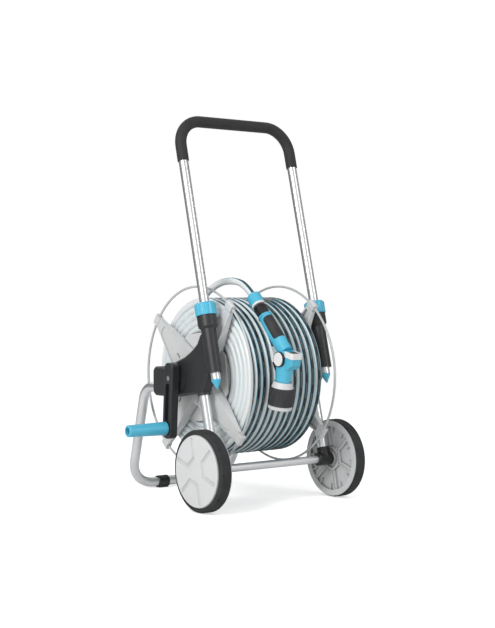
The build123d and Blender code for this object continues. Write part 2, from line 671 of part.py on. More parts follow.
def thumb_block():
    """The part of the head that stands out behind the barrel and carries the thumb lever."""
    middle = (BLOCK_LOWER + BLOCK_TOP) / 2
    block = Pos(0, -BLOCK_REACH / 2, middle) * Box(2 * BLOCK_HALF, BLOCK_REACH, BLOCK_TOP - BLOCK_LOWER)
    low = block.faces().sort_by(Axis.Z)[0].edges().sort_by(Axis.Y)[:1]
    block = chamfer(low, 12)
    return fillet(block.edges().filter_by(Axis.Z), 4)


def trim_zone():
    back = BLOCK_REACH + TRIM_WALL
    outer = Pos(0, -(back + TRIM_FRONT) / 2, (TRIM_LOW + TRIM_HIGH) / 2) * Box(
        2 * (BLOCK_HALF + TRIM_WALL), back - TRIM_FRONT, TRIM_HIGH - TRIM_LOW
    )
    return fillet(outer.edges().filter_by(Axis.Z).group_by(Axis.Y)[0], 5)


def gun_trim():
    """A rim round the thumb lever, over the top of its block."""
    well = Pos(0, -BLOCK_REACH / 2, LEVER_UP + 10) * Box(LEVER_WELL, BLOCK_REACH - 6, 40)
    return trim_zone() - thumb_block() - well


def gun_body():
    body = gun_solid() - insert_zone() - trim_zone() + thumb_block()
    body -= Pos(-GUN_NECK_R - 2, 0, DIAL_UP) * Rot(Y=90) * Cylinder(DIAL_R + 2, 8)
    body -= along_x(4 + RUNNING, -30, 0).moved(Pos(0, 0, DIAL_UP))
    body -= trigger_slot()
    body -= lever_seat()
    body -= on_handle(post(6, -40, GUN_HANDLE + 1))
    return body - post(6, 0, GUN_BARREL)


def trigger_slot():
    return Pos(0, GUN_REAR_R - 1, TRIGGER_UP + 6) * Box(13, 20, 32)


def lever_seat():
    """Room for the thumb lever on top of the block."""
    low = BLOCK_TOP
    return Pos(0, -BLOCK_REACH / 2 - 8, low + 10) * Box(LEVER_WELL, BLOCK_REACH - 10, 20)


def gun_insert():
    return insert_zone() & gun_solid() - on_handle(post(6, -40, GUN_HANDLE + 1))


def gun_trigger():
    """A squeeze lever in the angle between barrel and handle."""
    y, z = GUN_REAR_R, TRIGGER_UP
    points = [(y - 4, z - 5), (y + 5, z - 3), (y + 22, z + 17), (y + 36, z + 44)]
    points += [(y + 33, z + 49), (y + 27, z + 46), (y + 12, z + 23), (y - 4, z + 7)]
    return outline_x(points, 2.0, -6, 6) + along_x(4, -6, 6).moved(Pos(0, y, z))


def gun_lever():
    body = Pos(0, -GUN_REAR_R + 1, LEVER_UP) * Box(21, 17, 7)
    body = fillet(body.edges().filter_by(Axis.X), 2.5)
    return body + Pos(0, -GUN_REAR_R - 6, LEVER_UP + 2) * Box(19, 4, 4)


def gun_dial():
    face = -GUN_NECK_R - 2.5
    body = along_x(DIAL_R, face - DIAL_T, face - 0.5)
    body = fillet(body.edges().filter_by(GeomType.CIRCLE).sort_by(Axis.X)[:1], 1.5)
    body += along_x(4, face - 1, face + 14)
    mark = Pos(face - DIAL_T, 0, 3) * Box(1.2, 2.2, 17)
    return Pos(0, 0, DIAL_UP) * (body - mark)


def gun_dial_ring():
    face = -GUN_NECK_R - 2.5
    return Pos(0, 0, DIAL_UP) * ring(DIAL_R + 2, DIAL_R + PART_GAP, face - 3.5, face + 1.5)


def nozzle_collar():
    z0 = FACE_T + BUMPER_T
    cup = Pos(0, 0, z0 + NOZZLE_COLLAR_T / 2) * Cone(NOZZLE_COLLAR_R, GUN_NECK_R + 3.5, NOZZLE_COLLAR_T)
    return cup - post(GUN_NECK_R + PART_GAP + 2, z0 + 4 - PART_GAP, z0 + 40) - post(6, 0, z0 + 9)


def nozzle_bumper():
    body = post(BUMPER_R, FACE_T, FACE_T + BUMPER_T)
    low = body.edges().filter_by(GeomType.CIRCLE).sort_by(Axis.Z)
    body = chamfer(low[-1:], 4)
    body = fillet(body.edges().filter_by(GeomType.CIRCLE).sort_by(Axis.Z)[:1], 2)
    for step in range(18):
        turn = Rot(Z=20 * step)
        body -= turn * Pos(BUMPER_R + 1.6, 0, 0) * post(2.4, FACE_T - 1, FACE_T + BUMPER_T - 6)
    return body - post(BUMPER_R - 5, FACE_T - 1, FACE_T + BUMPER_T - 5) - post(6, 0, 90)


def nozzle_face():
    """Spray plate with its rings of small holes, in a cup inside the bumper."""
    body = post(FACE_R, 0, FACE_T) + post(BUMPER_R - 5, FACE_T - 1, FACE_T + BUMPER_T - 5)
    body = chamfer(body.edges().filter_by(GeomType.CIRCLE).sort_by(Axis.Z)[:1], 2)
    body -= post(FACE_R - 5, -1, 3)
    for count, radius in ((1, 0), (6, 8), (12, 16)):
        for step in range(count):
            body -= Rot(Z=360 / count * step) * Pos(radius, 0, 0) * post(1.2, 0, 9)
    return body


def gun_end(outer, inner, start, length):
    return on_handle(sleeve(outer, inner, start, start + length))


def inlet_ring():
    return gun_end(INLET_RING_R, 6, GUN_HANDLE, INLET_RING_T)


def connector_body():
    start = GUN_HANDLE + INLET_RING_T
    return gun_end(CONNECTOR_R - RELEASE_WALL, 6, start, CONNECTOR_T)


def connector_sleeve():
    """The release sleeve, pulled back towards the hose."""
    start = GUN_HANDLE + INLET_RING_T
    length = CONNECTOR_T - RELEASE_TRAVEL - PART_GAP
    body = sleeve(CONNECTOR_R, CONNECTOR_R - RELEASE_WALL + RUNNING, start + PART_GAP, start + length)
    for step in range(10):
        turn = Rot(Z=36 * step)
        body -= turn * Pos(CONNECTOR_R + 1.5, 0, 0) * post(2.4, start + 4, start + length * 0.6)
    ridge = sleeve(CONNECTOR_R + 1, CONNECTOR_R - 1.2, start + length * 0.72, start + length * 0.82)
    return on_handle(body - ridge)


def white_ring():
    start = GUN_HANDLE + INLET_RING_T + CONNECTOR_T
    return gun_end(WHITE_RING_R, 6, start, WHITE_RING_T)


def hose_nut():
    start = GUN_HANDLE + INLET_RING_T + CONNECTOR_T + WHITE_RING_T
    body = post(HOSE_NUT_R, start, start + HOSE_NUT_T)
    body = chamfer(body.edges().filter_by(GeomType.CIRCLE).sort_by(Axis.Z)[-1:], 3)
    for step in range(10):
        turn = Rot(Z=36 * step)
        body -= turn * Pos(HOSE_NUT_R + 2.2, 0, 0) * post(3, start + 3, start + HOSE_NUT_T + 1)
    return on_handle(body - post(HOSE_D / 2 + 0.4, start + 6, start + HOSE_NUT_T + 1) - post(6, start - 1, 400))


# ---- hose ----
def corner_radii(points, short_share=0.45):
    radii = []
    for a, b, c in zip(points, points[1:], points[2:]):
        one, two = Vector(*b) - Vector(*a), Vector(*c) - Vector(*b)
        half = one.get_angle(two) / 2
        radii.append(short_share * min(one.length, two.length) / tan(radians(half)))
    return radii


def free_hose():
    points = [(HOSE_X, y, z) for y, z in HOSE_ROUTE]
    radii = corner_radii(points)
    body = bent_tube(points, radii, HOSE_D / 2, 0)
    length = body.volume / (pi * (HOSE_D / 2) ** 2)
    print("hose corner radii", [round(r, 1) for r in radii], "length", round(length, 1))
    return body


def bracket_screws():
    """Two screws through each bracket's inner side into the leg."""
    group = Part()
    for rise in (LEG_TOP - 8, LEG_TOP - 32):
        one = along_x(2, LEG_X - LEG_SOCKET_R - 1, LEG_X - LEG_R + 3)
        head = along_x(4, LEG_X - LEG_SOCKET_R - 3, LEG_X - LEG_SOCKET_R - 1)
        group += LEANED * Pos(0, 0, rise) * (one + head)
    return group


def main():
    holes = screw_holes()
    right_flange = flange() - holes
    right_leg_holes = bracket_screws()
    right_bracket = bracket() - right_leg_holes
    right_leg = leg() - right_leg_holes
    at_wheel = Pos(0, 0, WHEEL_R)
    gun = gun_frame()
    pairs = {
        "wheel_rim": at_wheel * wheel_rim(),
        "wheel_cover": at_wheel * wheel_cover(),
        "tyre": at_wheel * wheel_tyre(),
        "t_connector": t_connector(),
        "leg": right_leg,
        "bracket": right_bracket,
        "hub_bush": hub_bush(),
        "foot_pad": foot_pad(),
        "lock_nut": lock_nut(),
        "tube_tip": tube_tip(),
        "drum_flange": right_flange,
        "flange_ring": wire_ring(),
    }
    parts = {}
    for name, shape in pairs.items():
        parts["right_" + name] = shape
        parts["left_" + name] = other_side(shape)
    clip = at_wheel * wheel_clip()
    screws = bracket_screws()
    one_collet = collet()
    parts |= {
        "axle_tube": at_wheel * ring(AXLE_R, AXLE_R - TUBE_WALL, -TEE_X + TEE_STOP, TEE_X - TEE_STOP),
        "axle_rod": at_wheel * along_x(AXLE_ROD_R, -TYRE_END + 3, TYRE_END - 3),
        "axle_clips": clip + other_side(clip),
        "foot_tube": foot_tube(),
        "bracket_screws": screws + other_side(screws),
        "handle_collets": one_collet + other_side(one_collet),
        "handle_tube": handle_tube(),
        "handle_grip": handle_grip(),
        "drum_barrel": barrel(),
        "hub_shaft": hub_shaft(),
        "water_elbow": water_elbow(),
        "drum_screws": drum_screws(),
        "hose_coil": hose_coil(),
        "crank_arm": crank_arm(),
        "crank_screw": crank_screw(),
        "crank_pin": crank_pin(),
        "crank_knob": crank_knob(),
        "inlet_fitting": inlet_fitting(),
        "inlet_seal": inlet_seal(),
        "free_hose": free_hose(),
        "gun_body": gun * gun_body(),
        "gun_insert": gun * gun_insert(),
        "gun_trigger": gun * gun_trigger(),
        "gun_trim": gun * gun_trim(),
        "gun_lever": gun * gun_lever(),
        "gun_dial": gun * gun_dial(),
        "gun_dial_ring": gun * gun_dial_ring(),
        "nozzle_collar": gun * nozzle_collar(),
        "nozzle_bumper": gun * nozzle_bumper(),
        "nozzle_face": gun * nozzle_face(),
        "gun_inlet_ring": gun * inlet_ring(),
        "connector_body": gun * connector_body(),
        "connector_sleeve": gun * connector_sleeve(),
        "connector_ring": gun * white_ring(),
        "hose_nut": gun * hose_nut(),
    }
    os.makedirs("parts", exist_ok=True)
    middle = Pos(-MIDDLE_X, -MIDDLE_Y, 0)
    for name, shape in parts.items():
        export_step(middle * Compound(list(shape.solids())), f"parts/{name}.step")


main()
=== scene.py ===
import json
from math import cos, pi, radians, sin, sqrt

import bmesh
import bpy
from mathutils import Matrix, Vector


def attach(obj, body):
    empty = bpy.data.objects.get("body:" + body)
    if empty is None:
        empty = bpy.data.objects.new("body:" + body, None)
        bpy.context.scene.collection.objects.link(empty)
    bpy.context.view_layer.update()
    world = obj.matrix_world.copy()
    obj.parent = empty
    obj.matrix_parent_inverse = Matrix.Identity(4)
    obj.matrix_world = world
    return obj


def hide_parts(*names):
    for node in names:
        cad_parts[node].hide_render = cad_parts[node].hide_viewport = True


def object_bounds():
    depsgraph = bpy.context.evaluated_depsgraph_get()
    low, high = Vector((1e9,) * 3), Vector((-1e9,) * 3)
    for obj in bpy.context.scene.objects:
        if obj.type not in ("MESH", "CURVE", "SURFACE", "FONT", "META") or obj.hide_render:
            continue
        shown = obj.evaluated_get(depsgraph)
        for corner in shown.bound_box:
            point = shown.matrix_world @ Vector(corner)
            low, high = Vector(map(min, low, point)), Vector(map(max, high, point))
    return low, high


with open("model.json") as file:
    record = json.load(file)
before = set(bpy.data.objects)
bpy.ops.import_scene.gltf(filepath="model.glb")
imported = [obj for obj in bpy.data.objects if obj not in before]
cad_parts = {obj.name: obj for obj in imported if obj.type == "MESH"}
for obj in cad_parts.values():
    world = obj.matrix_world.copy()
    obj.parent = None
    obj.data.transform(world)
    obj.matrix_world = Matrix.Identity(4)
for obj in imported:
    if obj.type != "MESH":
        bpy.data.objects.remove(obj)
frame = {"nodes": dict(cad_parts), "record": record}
cad_low, cad_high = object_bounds()
NODES = frame["nodes"]
SCENE = bpy.context.scene


# ---------------------------------------------------------------- camera
CAMERA_AT = (-1.99175, -2.7646, 0.5472)
CAMERA_AZIMUTH, CAMERA_DOWN = 37.05, 1.24  # degrees from +Y towards +X, and below level
CAMERA_LENS, CAMERA_SENSOR = 76.03, 36.0  # millimetres


def make_camera():
    data = bpy.data.cameras.new("camera")
    data.sensor_width = CAMERA_SENSOR
    data.lens = CAMERA_LENS
    data.clip_start, data.clip_end = 0.05, 200.0
    camera = bpy.data.objects.new("camera", data)
    camera.location = CAMERA_AT
    azimuth, down = radians(CAMERA_AZIMUTH), radians(CAMERA_DOWN)
    forward = Vector((sin(azimuth) * cos(down), cos(azimuth) * cos(down), -sin(down)))
    camera.rotation_mode = "QUATERNION"
    camera.rotation_quaternion = forward.to_track_quat("-Z", "Y")
    SCENE.collection.objects.link(camera)
    SCENE.camera = camera


make_camera()

# ---------------------------------------------------------------- hose
HOSE_D = 0.0175
HOSE_SIDES = 16  # flat sides round the hose's mesh
DRUM_Y, DRUM_Z = -0.022, 0.316  # the drum's axis
HOSE_X = -0.00025  # the plane of the hose's free end
DRUM_X = 0.05075  # middle of the drum's width
COIL_HALF = 0.1052  # outermost turns' middles, either side of the drum's middle
FIRST_R, LAST_R = 0.1250, 0.1952  # first and last layer's points; the smooth line runs 2% inside them
LEFT_TURNS, RIGHT_TURNS = 3, 9  # turns of the last layer, left of the free end's plane and from it
INNER_TURNS = (12, 11, 12, 11)  # turns of the layers below it
LAYERS = len(INNER_TURNS) + 1
STEP_SHARE = 0.20  # share of a turn in which the hose moves over one place
CROSS_SHARE = 0.25  # the same where it crosses most of the drum's width
CROSS_DIP = 0.010  # how far it dips on the way across
UNEVEN_OUT, UNEVEN_SIDE = 0.0005, 0.0007  # how unevenly the turns lie
END_ANGLE = radians(35)  # where the wound hose ends and the free end goes on
STEPS = 16  # control points in a turn
# The smooth line's radius at a control point, over its radius between two of them: 1.0002, so
# dividing by it hardly moves a point, and the hose's outside lies 4 mm within the CAD coil's.
RIPPLE = (1 + cos(pi / STEPS) ** 2) / 2 / cos(pi / STEPS)
WOUND_FINENESS, FREE_FINENESS = 4, 10  # mesh rings for each control point

STRIPE_LEAN, STRIPE_SWAY = 0.10, 0.10  # radians that the last layer's stripe leans and sways
INNER_TURN = 1.5  # radians that the lower layers' stripe is turned towards the middle
MIDDLE_HALF = 0.05  # within this of the drum's middle it is turned less
# It is wholly turned at this depth below LAST_R, and not at all this much further out.
TURNED_DEPTH, TURNING = 0.012, 0.010

# The free end, as (y, z): from the connector's nut up over the turns, then down to the last turn's end.
FREE_ROUTE = [
    (-0.1632, 0.5066), (-0.1333, 0.5375), (-0.084, 0.560),
    (0.003, 0.5547), (0.0919, 0.4983), (0.1394, 0.4290),
]


def ease(t):
    """0 up to 0, 1 from 1 on, and a smooth rise in between."""
    t = min(1.0, max(0.0, t))
    return t * t * (3 - 2 * t)


def waver(lap, quick, slow, quick_start=0.0, slow_start=0.0):
    """An uneven wave between -1 and 1 along the laps."""
    return sin(lap * quick + quick_start) * sin(lap * slow + slow_start)


def slots():
    """(x, radius) of each turn in winding order, x from the drum's middle."""
    end_x = HOSE_X - DRUM_X
    places, side = [], -1
    for layer, turns in enumerate(INNER_TURNS):
        r = FIRST_R + (LAST_R - FIRST_R) * layer / (LAYERS - 1)
        for i in range(turns):
            places.append((side * COIL_HALF * (1 - 2 * i / (turns - 1)), r))
        side = -side
    for i in range(LEFT_TURNS):
        places.append((-COIL_HALF + (end_x + COIL_HALF) * i / LEFT_TURNS, LAST_R))
    for i in range(RIGHT_TURNS):
        places.append((COIL_HALF + (end_x - COIL_HALF) * i / (RIGHT_TURNS - 1), LAST_R))
    return places


def step_start(turn, last):
    """The lap at which the hose starts to move into this turn's place. The lower layers move
    over before the end's angle, the last turn after it, and the last layer's turns in between."""
    return turn - STEP_SHARE * min(1.0, (last - turn) / (LEFT_TURNS + RIGHT_TURNS - 1))


def wound_points():
    """Control points of the winding, from the barrel out, with laps counted from the angle at
    which the free end leaves. Each turn moves over one place at the back or on the top, and
    keeps its place in front. The last layer starts at the crank side and crosses to the far side under
    its own later turns, so that it ends in the free end's plane."""
    places = slots()
    last = len(places) - 1
    points = []
    for i in range(len(places) * STEPS + 1):
        lap_here = i / STEPS
        turn = min(last, int(lap_here))
        if turn < last and lap_here >= step_start(turn + 1, last):
            turn += 1
        (x0, r0), (x1, r1) = places[max(0, turn - 1)], places[turn]
        crossing = abs(x1 - x0) > COIL_HALF
        t = ease((lap_here - step_start(turn, last)) / (CROSS_SHARE if crossing else STEP_SHARE))
        x, r = x0 + (x1 - x0) * t, r0 + (r1 - r0) * t
        if crossing:
            r -= CROSS_DIP * sin(pi * t)
        r += UNEVEN_OUT * waver(lap_here, 5.3, 0.83, quick_start=1.0)
        x += UNEVEN_SIDE * waver(lap_here, 4.1, 0.61, slow_start=2.0)
        x = max(-COIL_HALF, min(COIL_HALF, x))
        r /= RIPPLE
        angle = END_ANGLE + 2 * pi * lap_here
        points.append((DRUM_X + x, DRUM_Y + r * cos(angle), DRUM_Z + r * sin(angle)))
    points[-1] = (HOSE_X,) + FREE_ROUTE[-1]
    return points


def spline_points(name, points, fineness):
    """Points along the smooth line of these control points."""
    data = bpy.data.curves.new(name, "CURVE")
    data.dimensions = "3D"
    spline = data.splines.new("NURBS")
    spline.points.add(len(points) - 1)
    for place, point in zip(spline.points, points):
        place.co = (*point, 1.0)
    spline.order_u = 3
    spline.use_endpoint_u = True
    spline.resolution_u = fineness
    holder = bpy.data.objects.new(name, data)
    SCENE.collection.objects.link(holder)
    bpy.context.view_layer.update()
    mesh = bpy.data.meshes.new_from_object(holder)
    line = [v.co.copy() for v in mesh.vertices]
    bpy.data.meshes.remove(mesh)
    bpy.data.objects.remove(holder)
    bpy.data.curves.remove(data)
    return line


def line_length(line):
    return sum((b - a).length for a, b in zip(line, line[1:]))


def stripe_turn(along, point):
    """How far the stripe has turned round the hose, in radians. On the last layer it faces
    nearly outwards, and below that it faces the middle of the drum's width."""
    out = sqrt((point.y - DRUM_Y) ** 2 + (point.z - DRUM_Z) ** 2)
    below = 1 - ease((out - LAST_R + TURNED_DEPTH) / TURNING)
    middle = max(-1.0, min(1.0, (DRUM_X - point.x) / MIDDLE_HALF))
    # two slow waves, one in 3.3 m and one in 13.4 m of hose
    loose = STRIPE_SWAY * sin(along * 1.9) + STRIPE_SWAY * sin(along * 0.47 + 1.0)
    return (1 - below) * (-STRIPE_LEAN + loose) + below * INNER_TURN * middle


def hose_tube(name, line, along_start):
    """A round tube on the line. Its `hose` attribute holds where each point is round the hose,
    as a cosine and a sine from the middle of the dark stripe, and how far along in metres."""
    mesh = bpy.data.meshes.new(name)
    verts, faces, marks = [], [], []
    along = along_start
    for i, point in enumerate(line):
        before, after = line[max(0, i - 1)], line[min(len(line) - 1, i + 1)]
        tangent = (after - before).normalized()
        if i:
            along += (point - before).length
        out = Vector((0, point.y - DRUM_Y, point.z - DRUM_Z)).normalized()
        out = (out - tangent * out.dot(tangent)).normalized()
        side = tangent.cross(out)
        twist = stripe_turn(along, point)
        for k in range(HOSE_SIDES):
            a = 2 * pi * k / HOSE_SIDES
            verts.append(point + (out * cos(a) + side * sin(a)) * HOSE_D / 2)
            marks.append((cos(a + twist), sin(a + twist), along))
    for i in range(len(line) - 1):
        for k in range(HOSE_SIDES):
            a, b = i * HOSE_SIDES + k, i * HOSE_SIDES + (k + 1) % HOSE_SIDES
            faces.append((a, b, b + HOSE_SIDES, a + HOSE_SIDES))
    faces.append(tuple(range(HOSE_SIDES))[::-1])
    faces.append(tuple(range(len(verts) - HOSE_SIDES, len(verts))))
    mesh.from_pydata(verts, [], faces)
    mark = mesh.attributes.new("hose", "FLOAT_VECTOR", "POINT")
    mark.data.foreach_set("vector", [c for m in marks for c in m])
    for polygon in mesh.polygons:
        polygon.use_smooth = len(polygon.vertices) == 4
    tube = bpy.data.objects.new(name, mesh)
    SCENE.collection.objects.link(tube)
    return tube


wound_line = spline_points("wound_line", wound_points(), WOUND_FINENESS)
wound_length = line_length(wound_line)
wound_hose = hose_tube("wound_hose", wound_line, 0.0)
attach(wound_hose, "drum")
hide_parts("hose_coil")
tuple(wound_line[0])

free_line = spline_points("free_line", [(HOSE_X, y, z) for y, z in FREE_ROUTE[::-1]], FREE_FINENESS)
free_hose = hose_tube("free_hose_end", free_line, wound_length)
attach(free_hose, "frame")
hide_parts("free_hose")
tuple(free_line[0])
round(line_length(free_line), 3)


# ---------------------------------------------------------------- materials
TUBE_LEAN = radians(14.5)  # how far the legs and the handle's tubes lean
GRAIN = 900.0  # fineness of the drawn lines across a tube
CORNER_SAMPLES = 8
TRIGGER_SPLIT = 0.361  # height above the ground, at rest, where the trigger's two colours meet
TRIGGER_JOIN = 0.0003  # half the width of the join


class Nodes:
    """Short ways to build one material's nodes."""

    def __init__(self, name):
        self.material = bpy.data.materials.new(name)
        self.material.use_nodes = True
        self.tree = self.material.node_tree
        self.surface = self.tree.nodes["Principled BSDF"]

    def new(self, kind, **settings):
        node = self.tree.nodes.new(kind)
        for key, value in settings.items():
            setattr(node, key, value)
        return node

    def link(self, a, b):
        self.tree.links.new(a, b)

    def feed(self, socket, value):
        if isinstance(value, (int, float)):
            socket.default_value = value
        elif isinstance(value, tuple):
            opaque = len(socket.default_value) == 4 and len(value) == 3
            socket.default_value = (*value, 1.0) if opaque else value
        else:
            self.link(value, socket)

    def math(self, operation, *values):
        node = self.new("ShaderNodeMath", operation=operation)
        for socket, value in zip(node.inputs, values):
            self.feed(socket, value)
        return node.outputs[0]

    def split(self, vector):
        """The x, y and z of a vector."""
        node = self.new("ShaderNodeSeparateXYZ")
        self.link(vector, node.inputs[0])
        return node.outputs["X"], node.outputs["Y"], node.outputs["Z"]

    def ramp(self, value, low, high):
        """0 below low and 1 above high, straight in between."""
        node = self.new("ShaderNodeMapRange")
        self.feed(node.inputs["Value"], value)
        node.inputs["From Min"].default_value = low
        node.inputs["From Max"].default_value = high
        return node.outputs[0]

    def between(self, value, low, high):
        """A share turned into a value between low and high."""
        node = self.new("ShaderNodeMapRange")
        self.feed(node.inputs["Value"], value)
        node.inputs["To Min"].default_value = low
        node.inputs["To Max"].default_value = high
        return node.outputs[0]

    def mix(self, share, a, b):
        """Colour a at share 0 and colour b at share 1."""
        node = self.new("ShaderNodeMix", data_type="RGBA")
        self.feed(node.inputs[0], share)
        self.feed(node.inputs[6], a)
        self.feed(node.inputs[7], b)
        return node.outputs[2]

    def places(self, scale=(1, 1, 1), turn=(0, 0, 0)):
        """Where a point is on its own piece, scaled and turned."""
        coordinates = self.new("ShaderNodeTexCoord")
        mapping = self.new("ShaderNodeMapping")
        mapping.inputs["Scale"].default_value = scale
        mapping.inputs["Rotation"].default_value = turn
        self.link(coordinates.outputs["Object"], mapping.inputs["Vector"])
        return mapping.outputs[0]

    def noise(self, scale, detail=2.0, vector=None):
        node = self.new("ShaderNodeTexNoise")
        node.inputs["Scale"].default_value = scale
        node.inputs["Detail"].default_value = detail
        self.link(self.places() if vector is None else vector, node.inputs["Vector"])
        return node.outputs["Fac"]

    def bump(self, height, distance, strength=1.0, after=None):
        node = self.new("ShaderNodeBump")
        node.inputs["Strength"].default_value = strength
        node.inputs["Distance"].default_value = distance
        self.feed(node.inputs["Height"], height)
        if after is not None:
            self.link(after, node.inputs["Normal"])
        return node.outputs["Normal"]

    def set(self, **values):
        """Feeds the shader's own sockets, named with underscores, and gives back the material."""
        for key, value in values.items():
            self.feed(self.surface.inputs[key.replace("_", " ")], value)
        return self.material


def scaled(colour, by):
    return tuple(min(1.0, c * by) for c in colour)


def brushed(name, colour, rough, along):
    """Drawn tube: fine lines the way the legs and the handle's tubes run, faint cloudy stains."""
    n = Nodes(name)
    lines = n.noise(1.0, 3.0, n.places((GRAIN, GRAIN, along), (TUBE_LEAN, 0, 0)))
    cloud = n.noise(14.0, 3.0)
    shade = n.mix(n.ramp(cloud, 0.3, 0.75), colour, scaled(colour, 0.93))
    drawn, stained = n.between(lines, rough - 0.05, rough + 0.07), n.between(cloud, -0.02, 0.04)
    return n.set(Base_Color=shade, Metallic=1.0, Roughness=n.math("ADD", drawn, stained),
                 Normal=n.bump(lines, 0.00003, 0.35))


def dusted(n, shade, dust):
    """The shade with dust over it where a face looks up."""
    up = n.ramp(n.split(n.new("ShaderNodeNewGeometry").outputs["Normal"])[2], 0.2, 1.0)
    share = n.math("MULTIPLY", up, n.between(n.noise(60.0, 5.0), 0.02, 0.20))
    return n.mix(share, shade, dust)


def groove_shaded(n, shade, colour, groove_shade, reach):
    """The shade darkened in grooves and corners as painted shade, as far as `reach` from them."""
    # painted shade: the colour turns darker where the occlusion node finds faces close by, in grooves and
    # corners
    corner = n.new("ShaderNodeAmbientOcclusion", samples=CORNER_SAMPLES)
    corner.inputs["Distance"].default_value = reach
    return n.mix(n.ramp(corner.outputs["AO"], 0.35, 0.95), scaled(colour, 1 - groove_shade), shade)


def moulded(name, colour, rough, grain, grain_scale, tint, coat=0.0, dust=None, groove_shade=0.0, reach=0.007):
    """Moulded plastic: fine texture, soft colour variation, and dust or painted shade in grooves and
    corners where it has any.
    """
    n = Nodes(name)
    fine = n.noise(grain_scale, 2.0)
    cloud = n.noise(22.0, 4.0)
    shade = n.mix(n.ramp(cloud, 0.3, 0.7), scaled(colour, 1 - tint), scaled(colour, 1 + tint))
    if dust is not None:
        shade = dusted(n, shade, dust)
    # painted shade in grooves and corners, on the plastics that have it
    if groove_shade > 0:
        shade = groove_shaded(n, shade, colour, groove_shade, reach)
    smooth, textured = n.between(cloud, rough - 0.05, rough + 0.05), n.between(fine, -0.03, 0.03)
    return n.set(Base_Color=shade, Roughness=n.math("ADD", smooth, textured), Coat_Weight=coat,
                 Coat_Roughness=0.25, Normal=n.bump(fine, grain, 0.6, n.bump(cloud, 0.0002, 0.15)))


def rubber(name, colour, rough, grain, scale):
    """Matt rubber: fine texture and paler cloudy wear."""
    n = Nodes(name)
    fine = n.noise(scale, 3.0)
    cloud = n.noise(30.0, 5.0)
    shade = n.mix(n.ramp(cloud, 0.35, 0.8), colour, tuple(c * 1.5 + 0.008 for c in colour))
    return n.set(Base_Color=shade, Roughness=n.between(cloud, rough - 0.06, rough + 0.06),
                 Specular_IOR_Level=0.35, Normal=n.bump(fine, grain, 0.8))


def foam(name, colour):
    """Closed-cell foam: small cells of uneven size."""
    n = Nodes(name)
    cells = n.new("ShaderNodeTexVoronoi", feature="F1")
    cells.inputs["Scale"].default_value = 900.0
    n.link(n.places(), cells.inputs["Vector"])
    cloud = n.noise(40.0, 3.0)
    shade = n.mix(n.ramp(cloud, 0.3, 0.8), colour, tuple(c * 1.6 for c in colour))
    return n.set(Base_Color=shade, Roughness=0.72, Sheen_Weight=0.15, Sheen_Roughness=0.4,
                 Normal=n.bump(cells.outputs["Distance"], 0.00012, 0.7))


HOSE_WHITE, HOSE_WHITER = (0.75, 0.78, 0.78), (0.81, 0.83, 0.83)
HOSE_PALE = (0.55, 0.71, 0.77)  # the thin lines opposite the dark stripe
HOSE_EDGE = (0.17, 0.50, 0.64)  # the lines beside the dark stripe
HOSE_DARK, HOSE_DOTS = (0.003, 0.009, 0.012), (0.50, 0.62, 0.65)
# Cosines of the angle from the dark stripe's middle, between which one colour turns into the next.
DARK_FROM, DARK_TO = 0.852, 0.864
EDGE_FROM, EDGE_TO = 0.755, 0.769
LINE_AT, LINE_FROM, LINE_TO = -0.93, 0.022, 0.032  # the pale lines' middle, and each side's soft edge
DOTS, DOT_SHARE = 260.0, 0.45  # dots in a metre of stripe, and how much of each is marked
GROUPS, GROUP_SHARE = 17.0, 0.62  # groups of dots in a metre, and how much of each is marked
DOTS_SIDE, DOTS_MIDDLE = 0.16, 0.12  # how far the dots reach to each side of the stripe's middle
DOTS_SHOW = 0.45  # how strongly they show


def repeats(n, along, count, share):
    """1 in the first share of each of `count` lengths to a metre, else 0."""
    return n.math("LESS_THAN", n.math("FRACT", n.math("MULTIPLY", along, count)), share)


def hose_material():
    """White-grey hose with a dark stripe edged in light blue, fine dots along the stripe's
    middle, and two thin pale lines on the other side."""
    n = Nodes("hose")
    mark = n.new("ShaderNodeAttribute", attribute_name="hose")
    facing, across, along = n.split(mark.outputs["Vector"])
    dark = n.ramp(facing, DARK_FROM, DARK_TO)
    edge = n.ramp(facing, EDGE_FROM, EDGE_TO)
    off_line = n.ramp(n.math("ABSOLUTE", n.math("ADD", facing, -LINE_AT)), LINE_FROM, LINE_TO)
    cloud = n.noise(35.0, 3.0)
    white = n.mix(n.ramp(cloud, 0.3, 0.7), HOSE_WHITE, HOSE_WHITER)
    middle = n.ramp(n.math("ABSOLUTE", across), DOTS_SIDE, DOTS_MIDDLE)
    marked = n.math("MULTIPLY", repeats(n, along, DOTS, DOT_SHARE), repeats(n, along, GROUPS, GROUP_SHARE))
    spots = n.math("MULTIPLY", n.math("MULTIPLY", marked, middle), DOTS_SHOW)
    colour = n.mix(edge, n.mix(off_line, HOSE_PALE, white), HOSE_EDGE)
    colour = n.mix(dark, colour, n.mix(spots, HOSE_DARK, HOSE_DOTS))
    return n.set(Base_Color=colour, Roughness=n.between(cloud, 0.34, 0.46), Coat_Weight=0.15,
                 Coat_Roughness=0.3, Normal=n.bump(n.noise(900.0, 2.0), 0.00005, 0.4))


def trigger_material():
    """Black below and white along the upper strip, as two mouldings in one."""
    n = Nodes("trigger_plastic")
    upper = n.ramp(n.split(n.places())[2], TRIGGER_SPLIT - TRIGGER_JOIN, TRIGGER_SPLIT + TRIGGER_JOIN)
    fine = n.noise(1400.0, 2.0)
    return n.set(Base_Color=n.mix(upper, (0.012, 0.012, 0.013), (0.80, 0.80, 0.80)),
                 Roughness=n.between(fine, 0.28, 0.36), Normal=n.bump(fine, 0.00004, 0.6))


# Tubes: colour, roughness and fineness of the drawn lines along their length.
TUBES = {
    "aluminium": ((0.86, 0.87, 0.88), 0.27, 6),
    "satin_aluminium": ((0.84, 0.85, 0.86), 0.38, 6),
    "steel": ((0.62, 0.62, 0.63), 0.34, 40),
}
